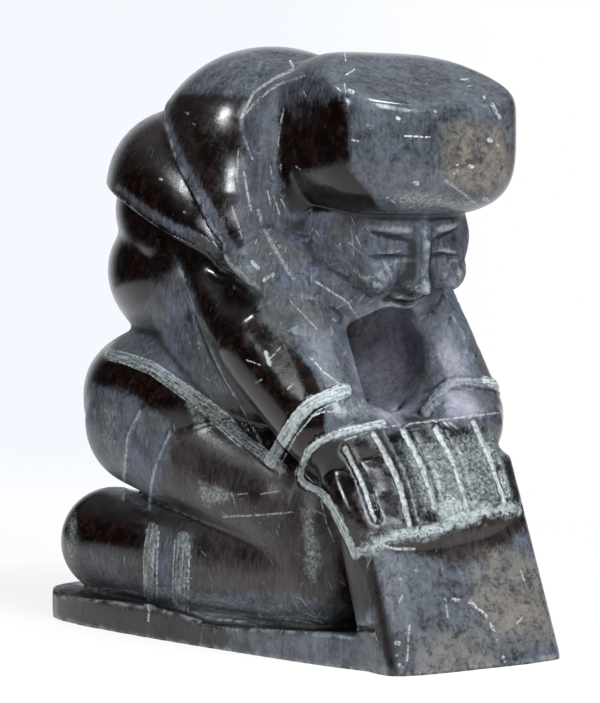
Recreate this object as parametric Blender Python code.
"""Stone carving of a kneeling woman who leans forward, both hands over the edge of a block.

One piece of stone: a thin base, a leaning block at its front and the figure between them.
Metres, +Z up. The woman faces -Y and her right side is -X. The origin is on the ground
under the middle of the carving.
"""
import math

import bmesh
import bpy
import numpy as np
from mathutils import Matrix, Vector

# Driving dimensions
CARVING_HEIGHT = 0.1055
BASE_THICKNESS = 0.0055
BASE_FRONT = 0.0495
BASE_BACK = 0.0495
BASE_FRONT_WIDTH = 0.033
BASE_BACK_WIDTH = 0.0525
BLOCK_WIDTH = 0.036
BLOCK_HEIGHT = 0.034
BLOCK_THICKNESS = 0.012
BLOCK_LEAN = math.radians(19)
BLOCK_TURN = math.radians(-9)
HANDS_WIDTH = 0.0375
FINGER_COUNT = 6
GROOVE_WIDTH = 0.0018
GROOVE_DEPTH = 0.0011
BAND_WIDTH = 0.0026
BAND_HEIGHT = 0.0009

# Fineness of the stone's surface
FUSE_VOXEL = 0.0008
SMOOTH_ROUNDS = 6
TRIANGLES = 8800
FLAT_REACH = 0.00005

# The figure is drawn in hundredths of its own height, from the top of the base
UNIT = (CARVING_HEIGHT - BASE_THICKNESS) / 100

SIDES = (-1, 1)

# The room between the arms, under the chest: its middle and half sizes
POCKET = (0.5, -18, 45)
POCKET_HALF = (9, 12, 10.5)

# The bowed face: its middle, where it looks, and its own directions across and up
FACE = (2.5, -18.5, 66)
FACE_LOOK = Vector((-0.15, -0.85, -0.5)).normalized()
FACE_ACROSS = FACE_LOOK.cross(Vector((0, 0, 1))).normalized()
FACE_UP = FACE_ACROSS.cross(FACE_LOOK)


def at(x, y, z):
    """A point of the figure, from hundredths of its height."""
    return Vector((x * UNIT, y * UNIT, BASE_THICKNESS + z * UNIT))


def lump(clay, centre, half, tilt=0, turn=0, lean=0, square=2.0, floor=1.0):
    """Add a closed round form. A higher square makes it boxier, a floor under 1 cuts it flat below."""
    made = bmesh.ops.create_icosphere(clay, subdivisions=5, radius=1.0)["verts"]
    spin = (Matrix.Rotation(math.radians(turn), 4, "Z")
            @ Matrix.Rotation(math.radians(lean), 4, "Y")
            @ Matrix.Rotation(math.radians(tilt), 4, "X"))
    place = Matrix.Translation(at(*centre)) @ spin
    for vert in made:
        swell = sum(abs(c) ** square for c in vert.co) ** (-1 / square)
        shape = vert.co * swell
        shape.z = max(shape.z, -floor)
        vert.co = place @ Vector([c * h * UNIT for c, h in zip(shape, half)])


def ring_loft(clay, rings):
    """Bridge a row of closed rings, each a list of points, and cap both ends."""
    loops = [[clay.verts.new(p) for p in ring] for ring in rings]
    count = len(loops[0])
    for lower, upper in zip(loops, loops[1:]):
        for i in range(count):
            j = (i + 1) % count
            clay.faces.new((lower[i], lower[j], upper[j], upper[i]))
    for loop, flip in ((loops[0], True), (loops[-1], False)):
        middle = clay.verts.new(sum((v.co for v in loop), Vector()) / count)
        for i in range(count):
            j = (i + 1) % count
            a, b = (loop[j], loop[i]) if flip else (loop[i], loop[j])
            clay.faces.new((a, b, middle))


def limb(clay, knots, steps=6, count=32):
    """A round limb through knots of (point, radius across, radius deep)."""
    points = [at(*k[0]) for k in knots]
    rings = []
    total = (len(knots) - 1) * steps
    for s in range(total + 1):
        k = min(s // steps, len(knots) - 2)
        f = s / steps - k
        here = points[k].lerp(points[k + 1], f)
        along = (points[k + 1] - points[k]).normalized()
        wide = knots[k][1] + (knots[k + 1][1] - knots[k][1]) * f
        deep = knots[k][2] + (knots[k + 1][2] - knots[k][2]) * f
        across = along.cross(Vector((0, 0, 1))).normalized()
        rise = across.cross(along)
        rings.append([here + (across * math.cos(a) * wide - rise * math.sin(a) * deep) * UNIT
                      for a in (2 * math.pi * i / count for i in range(count))])
    ring_loft(clay, rings)
    for end in (0, -1):
        lump(clay, knots[end][0], (knots[end][1], knots[end][1], knots[end][2]))


def base_outline(count=96):
    """The base seen from above: narrow in front, wide behind, with rounded corners."""
    outline = []
    for i in range(count):
        a = 2 * math.pi * i / count
        c, s = math.cos(a), math.sin(a)
        swell = (abs(c) ** 7 + abs(s) ** 7) ** (-1 / 7)
        along = s * swell
        y = along * (BASE_BACK if along > 0 else BASE_FRONT - BLOCK_THICKNESS / 2)
        share = (y + BASE_FRONT) / (BASE_FRONT + BASE_BACK)
        width = BASE_FRONT_WIDTH + (BASE_BACK_WIDTH - BASE_FRONT_WIDTH) * math.sin(share * math.pi / 2)
        outline.append(Vector((c * swell * width / 2, y, 0)))
    return outline


def add_base(clay):
    outline = base_outline()
    heights = [BASE_THICKNESS * i / 4 for i in range(5)]
    ring_loft(clay, [[p + Vector((0, 0, z)) for p in outline] for z in heights])


def block_middle(z):
    """The middle of the leaning block at height z."""
    foot = -BASE_FRONT + BLOCK_THICKNESS * 0.62
    return Vector((0, foot + z * math.tan(BLOCK_LEAN), z))


def over_block(x, y, z):
    """A point of the figure measured from the middle of the block's top, for what lies on it."""
    top = block_middle(BLOCK_HEIGHT)
    return x, top.y / UNIT + y, (top.z - BASE_THICKNESS) / UNIT + z


def add_block(clay, count=64, steps=10):
    rings = []
    for s in range(steps + 1):
        z = BLOCK_HEIGHT * s / steps
        spin = Matrix.Rotation(BLOCK_TURN * (1 - 0.5 * s / steps), 4, "Z")
        ring = []
        for i in range(count):
            a = 2 * math.pi * i / count
            c, d = math.cos(a), math.sin(a)
            swell = (abs(c) ** 4 + abs(d) ** 4) ** (-1 / 4)
            flat = Vector((c * swell * BLOCK_WIDTH / 2, d * swell * BLOCK_THICKNESS / 2, 0))
            ring.append(block_middle(z) + spin @ flat)
        rings.append(ring)
    ring_loft(clay, rings)


def add_legs(clay):
    for side in SIDES:
        limb(clay, [((side * 15, 37, 9), 10, 10), ((side * 14.5, 14, 8.5), 9.5, 9.5),
                    ((side * 11.5, -14, 8.5), 9, 10)])
        lump(clay, (side * 10, -13, 13), (10, 15, 15), square=3.0)
        limb(clay, [((side * 14, 27, 32), 12, 12.5), ((side * 11.5, -12, 20), 10.5, 11)])
    lump(clay, (0, 11, 10), (13, 31, 13), square=3.0)
    lump(clay, (0, -28, 14), (11, 10, 17), square=3.0)


def add_torso(clay):
    lump(clay, (0, 20.5, 36), (25.6, 27.2, 15.5), square=2.35)
    lump(clay, (0, 4, 46), (22.5, 26, 20), tilt=12)
    lump(clay, (0, 19.5, 60), (22, 27, 18))


def add_hood(clay):
    lump(clay, (0, 12, 69.5), (24.5, 34.5, 21), tilt=20, square=2.1)
    lump(clay, (0, 9, 67), (23.5, 25, 33), square=2.2)
    lump(clay, (0, -8, 58.5), (25, 13, 13), square=2.2)
    lump(clay, (0, -6, 77), (18, 16, 20), square=2.3)


def add_head(clay):
    lump(clay, (1.4, -23.5, 83.8), (18.8, 15.8, 14.4), turn=-10, square=3.5, floor=0.97)
    lump(clay, FACE, (16.5, 13, 13))
    add_nose(clay)


def on_face(x, rise, out=0.0):
    """A point in front of the middle of the face, from its own width and height."""
    middle = Vector(FACE) + FACE_LOOK * (13 + out)
    return tuple(middle + FACE_ACROSS * x + FACE_UP * rise)


def add_nose(clay):
    """A short wedge from between the eyes to a third above the chin."""
    limb(clay, [(on_face(0, 5.5, -1.5), 1.5, 1.5), (on_face(0, -1, -0.6), 2.6, 2.2)])
    for side in SIDES:
        lump(clay, on_face(side * 6.5, -0.5, -4.5), (5, 5, 5))


def add_arms(clay):
    for side in SIDES:
        wrist = over_block(side * 15.6 - 0.4, 5.4, 6)
        limb(clay, [((side * 15.5, 2, 57), 8.5, 9), ((side * 18, -9, 49), 8, 8.5), (wrist, 7.5, 8)])
        limb(clay, [((side * 13.5, -9, 53), 10, 12), (wrist, 7.5, 8)])
    lump(clay, (0, -12, 57), (19, 14, 9))
    lump(clay, (0, -12, 34), (9, 8, 9))


def add_hands(clay):
    half = HANDS_WIDTH / 2 / UNIT
    for side in SIDES:
        lump(clay, over_block(side * 11.5, 3.9, 4 + side), (9, 8, 6.5), tilt=12, square=2.4)
    lump(clay, over_block(0, 4.4, 1), (half, 8.5, 6), tilt=12, lean=-3, square=3.0)
    lump(clay, over_block(-0.8, -1.7, -5), (half, 5.5, 12.8), tilt=-34, turn=-4, lean=-4, square=3.0)


class Stone:
    """The fused surface, held as arrays while it is carved."""

    def __init__(self, mesh):
        self.mesh = mesh
        self.at = np.empty(len(mesh.vertices) * 3, np.float32)
        mesh.vertices.foreach_get("co", self.at)
        self.at = self.at.reshape(-1, 3)
        self.refresh()

    def refresh(self):
        """Write the points back and take the surface's directions again."""
        self.mesh.vertices.foreach_set("co", self.at.ravel())
        self.mesh.update()
        out = np.empty(len(self.mesh.vertices) * 3, np.float32)
        self.mesh.vertices.foreach_get("normal", out)
        self.out = out.reshape(-1, 3)

    def press(self, amount):
        """Move each point inward by its own amount."""
        self.at -= self.out * amount[:, None]
        self.refresh()


def along_path(flat, path):
    """For flat points: distance from a path, which side they lie on, and share of its length."""
    path = np.array(path, np.float32)
    best = np.full(len(flat), np.inf, np.float32)
    side = np.zeros(len(flat), np.float32)
    share = np.zeros(len(flat), np.float32)
    lengths = np.linalg.norm(path[1:] - path[:-1], axis=1)
    done = 0.0
    for a, b, length in zip(path[:-1], path[1:], lengths):
        way = (b - a) / length
        rel = flat - a
        run = np.clip(rel @ way, 0, length)
        gap = np.linalg.norm(rel - run[:, None] * way, axis=1)
        near = gap < best
        best = np.where(near, gap, best)
        side = np.where(near, np.sign(way[0] * rel[:, 1] - way[1] * rel[:, 0]), side)
        share = np.where(near, (done + run) / lengths.sum(), share)
        done += length
    return best, side, share


def smooth_curve(points, count=24):
    """A smooth run of points through a few given ones."""
    points = [Vector(p) for p in points]
    knots = [points[0] * 2 - points[1]] + points + [points[-1] * 2 - points[-2]]
    run = []
    for k in range(1, len(knots) - 2):
        a, b, c, d = knots[k - 1:k + 3]
        for i in range(count):
            t = i / count
            run.append(0.5 * (2 * b + (c - a) * t + (2 * a - 5 * b + 4 * c - d) * t * t
                              + (3 * b - a - 3 * c + d) * t ** 3))
    return run + [points[-1]]


def fade(x):
    x = np.clip(x, 0, 1)
    return x * x * (3 - 2 * x)


def from_side(points):
    """Side-view points (y, z) of the figure, in hundredths, as a smooth path in metres."""
    return [(p.x * UNIT, BASE_THICKNESS + p.y * UNIT) for p in smooth_curve([(y, z) for y, z in points])]


def overlap(stone, path, drop, ledge, recover, fade_in=0.0, where=1.0):
    """End a fold at a rim: past the path the surface drops and then swells back again."""
    gap, side, share = along_path(stone.at[:, 1:3], path)
    past = np.where(side < 0, gap, 0)
    fall = fade(past / ledge) * np.exp(-np.maximum(past - ledge, 0) / recover)
    if fade_in:
        fall = fall * fade(share / fade_in)
    stone.press(drop * fall * where)


def stroke(stone, path, width, depth, where=1.0):
    """Carve a groove along a side-view path, or raise a bead where the depth is negative."""
    gap = along_path(stone.at[:, 1:3], path)[0]
    stone.press(depth * fade(1.25 - 2 * gap / width) * where)


def facing(stone, direction, lowest=0.1, highest=0.45):
    """How much each point's surface faces a direction, from 0 to 1."""
    away = stone.out @ np.array(Vector(direction).normalized(), np.float32)
    return fade((away - lowest) / (highest - lowest))


def within(stone, axis, low, high, soft=1.0):
    """A mask that is 1 between two places along an axis of the figure, with soft ends."""
    place = (stone.at[:, axis] - (BASE_THICKNESS if axis == 2 else 0)) / UNIT
    return fade((place - low) / soft + 0.5) * fade((high - place) / soft + 0.5)


def flank(stone):
    return fade((np.abs(stone.out[:, 0]) - 0.15) / 0.3)


def seen_along(stone, direction, path):
    """Flatten the stone and a path of figure points along a direction of view."""
    look = Vector(direction).normalized()
    across = look.cross(Vector((0, 0, 1))).normalized()
    rise = across.cross(look)
    plane = np.array([across, rise], np.float32)
    flat_path = [(at(*p).dot(across), at(*p).dot(rise)) for p in path]
    return stone.at @ plane.T, flat_path


def front_stroke(stone, path, width, depth, direction, where=1.0):
    """Carve a groove, or a bead, that is drawn on the stone along a direction of view."""
    flat, flat_path = seen_along(stone, direction, path)
    gap = along_path(flat, flat_path)[0]
    stone.press(depth * fade(1.25 - 2 * gap / width) * facing(stone, direction) * where)


def facet(stone, point, normal, soft, where):
    """File a flat facet: what stands past a plane is taken down to it, with a soft edge."""
    normal = Vector(normal).normalized()
    past = (stone.at - np.array(at(*point), np.float32)) @ np.array(normal, np.float32) / UNIT
    cut = np.where(past > soft, past, np.maximum(past + soft, 0) ** 2 / (4 * soft))
    stone.at -= np.outer(cut * where * UNIT, np.array(normal, np.float32))
    stone.refresh()


def carve_head(stone):
    """The bowed head: a crown that slopes to the brow, an undercut below it and a flatter side."""
    head = within(stone, 2, 67, 120, soft=2) * within(stone, 1, -90, -11.5, soft=5)
    facet(stone, (0, -36, 89.4), (-0.07, -0.44, 0.895), 2.2, head)
    facet(stone, (0, -38.4, 73.5), (-0.10, -0.84, -0.54), 0.8, head)
    facet(stone, (-17, -22, 84), (-0.98, 0.17, 0.08), 0.4, head)


def carve_folds(stone):
    hood_roll = from_side([(-17, 56), (-8.5, 62), (-2.4, 67), (1.5, 72.3), (8.4, 79.3), (14, 85),
                           (22, 90.5), (30, 93.5), (42, 98)])
    hood_fold = from_side([(-17, 56), (-4.3, 60.8), (9.4, 66.3), (18, 70), (27, 73.2), (56, 81.5)])
    overlap(stone, hood_fold, 2.6 * UNIT, 1.6 * UNIT, 7 * UNIT, fade_in=0.12)
    overlap(stone, hood_roll, 2.2 * UNIT, 1.6 * UNIT, 7 * UNIT, fade_in=0.12)


def carve_hem(stone):
    low = within(stone, 2, 20, 50)
    hem = from_side([(56, 45), (34, 44), (16.4, 42.2), (4.2, 36.9), (-5.8, 30.8), (-20, 26)])
    below = from_side([(56, 41), (34, 40), (16, 38.2), (5.5, 33.5), (-3.5, 27.5), (-12, 24.5)])
    side = flank(stone) + facing(stone, (0, 1, 0))
    where = np.minimum(side, 1) * low * within(stone, 1, -20, 60)
    stroke(stone, below, 3.4 * UNIT, 1.4 * UNIT, where)
    stroke(stone, hem, BAND_WIDTH, -BAND_HEIGHT, where)


def carve_legs(stone):
    side = flank(stone)
    thigh = within(stone, 2, 17, 33, soft=2)
    for path in ([(19.4, 34), (20.7, 27.6), (24, 18)], [(9.4, 32), (11.9, 24.6), (16, 16.5)]):
        stroke(stone, from_side(path), BAND_WIDTH * 0.45, -BAND_HEIGHT * 0.5, side * thigh)
    boot = within(stone, 2, 1, 15.5, soft=2)
    for y in (16, 8.5):
        stroke(stone, from_side([(y, 0), (y, 16)]), BAND_WIDTH, -BAND_HEIGHT, side * boot)


def carve_cuffs(stone):
    for side in SIDES:
        wrist = at(*over_block(side * 16 - 0.4, 6, 6.7))
        along = Vector((-side * 0.12, -0.72, -0.69)).normalized()
        rel = stone.at - np.array(wrist, np.float32)
        run = rel @ np.array(along, np.float32)
        off = np.linalg.norm(rel - run[:, None] * np.array(along, np.float32), axis=1)
        near = fade((11.5 * UNIT - off) / (1.5 * UNIT))
        stone.press(-BAND_HEIGHT * fade(1.25 - 2 * np.abs(run) / BAND_WIDTH) * near)


def carve_fingers(stone):
    """Five grooves part the six fingers that hang over the front of the block."""
    view = (0, -0.82, 0.57)
    pitch = HANDS_WIDTH / UNIT / (FINGER_COUNT - 0.55)
    for i in range(FINGER_COUNT - 1):
        x = pitch * (i + 0.55) - HANDS_WIDTH / UNIT / 2 - 1.5
        path = [over_block(x, -2.5, 5.2), over_block(x * 0.93, -9.7, -9)]
        front_stroke(stone, path, GROOVE_WIDTH, GROOVE_DEPTH, view)


def carve_face(stone):
    """Calm, lowered eyes and a closed mouth, in thirds from the brow to the chin."""
    near = within(stone, 2, 48, 69.5, soft=1.0)
    for side in SIDES:
        lid = [on_face(side * 2.8, 5.6), on_face(side * 5.8, 4.9), on_face(side * 8.8, 5.8)]
        front_stroke(stone, lid, 1.5 * UNIT, 0.7 * UNIT, FACE_LOOK, near)
        ball = [on_face(side * 3.8, 6.8), on_face(side * 7.6, 6.9)]
        front_stroke(stone, ball, 2.4 * UNIT, -0.5 * UNIT, FACE_LOOK, near)
    lips = [on_face(-4.2, -5.2), on_face(0, -5.6), on_face(4.2, -5.2)]
    front_stroke(stone, lips, 1.3 * UNIT, 0.8 * UNIT, FACE_LOOK, near)
    chin = [on_face(-2.6, -7.2), on_face(2.6, -7.2)]
    front_stroke(stone, chin, 2.2 * UNIT, -0.5 * UNIT, FACE_LOOK, near)


def flatten_underside(stone, reach):
    """Everything this near to the ground becomes one flat face."""
    low = stone.at[:, 2] < reach
    stone.at[low, 2] = 0
    stone.refresh()


def carve(stone):
    carve_head(stone)
    carve_folds(stone)
    carve_hem(stone)
    carve_legs(stone)
    carve_cuffs(stone)
    carve_fingers(stone)
    carve_face(stone)
    flatten_underside(stone, 0.8 * FUSE_VOXEL)


def as_object(clay, name):
    mesh = bpy.data.meshes.new(name)
    clay.to_mesh(mesh)
    clay.free()
    made = bpy.data.objects.new(name, mesh)
    bpy.context.collection.objects.link(made)
    return made


def add_remesh(made, name):
    fuse = made.modifiers.new(name, "REMESH")
    fuse.mode = "VOXEL"
    fuse.voxel_size = FUSE_VOXEL


def taken(made):
    """The mesh of an object as its modifiers leave it. The object goes."""
    bpy.context.view_layer.update()
    ready = made.evaluated_get(bpy.context.evaluated_depsgraph_get())
    mesh = bpy.data.meshes.new_from_object(ready)
    bpy.data.objects.remove(made)
    return mesh


def thinned(dense):
    """The carved surface with fewer faces, and its underside flat again."""
    made = bpy.data.objects.new("dense", dense)
    bpy.context.collection.objects.link(made)
    thin = made.modifiers.new("fewer_faces", "DECIMATE")
    thin.ratio = TRIANGLES / (2 * len(dense.polygons))
    thin.use_collapse_triangulate = True
    mesh = taken(made)
    flatten_underside(Stone(mesh), FLAT_REACH)
    return mesh


def make_carving():
    clay = bmesh.new()
    add_base(clay)
    add_block(clay)
    add_legs(clay)
    add_torso(clay)
    add_hood(clay)
    add_head(clay)
    add_arms(clay)
    add_hands(clay)
    rough = as_object(clay, "rough_forms")
    add_remesh(rough, "fuse")
    hollow = bmesh.new()
    lump(hollow, POCKET, POCKET_HALF, tilt=-12)
    cutter = as_object(hollow, "pocket_between_the_arms")
    cutter.hide_render = True
    cutter.display_type = "WIRE"
    cut = rough.modifiers.new("pocket", "BOOLEAN")
    cut.operation = "DIFFERENCE"
    cut.object = cutter
    add_remesh(rough, "even")
    soften = rough.modifiers.new("soften", "SMOOTH")
    soften.factor = 0.5
    soften.iterations = SMOOTH_ROUNDS
    dense = taken(rough)
    bpy.data.objects.remove(cutter)
    carve(Stone(dense))
    return thinned(dense)


def make_material():
    """Dark polished soapstone, between brown and green."""
    stone = bpy.data.materials.new("dark_soapstone")
    stone.use_nodes = True
    shader = stone.node_tree.nodes["Principled BSDF"]
    shader.inputs["Base Color"].default_value = (0.055, 0.045, 0.042, 1)
    shader.inputs["Roughness"].default_value = 0.3
    shader.inputs["Metallic"].default_value = 0.0
    return stone


def main():
    for old in list(bpy.data.objects):
        bpy.data.objects.remove(old)
    stone = make_carving()
    stone.name = "kneeling_woman_carving"
    stone.shade_smooth()
    stone.materials.append(make_material())
    carving = bpy.data.objects.new("kneeling_woman_carving", stone)
    bpy.context.collection.objects.link(carving)


main()
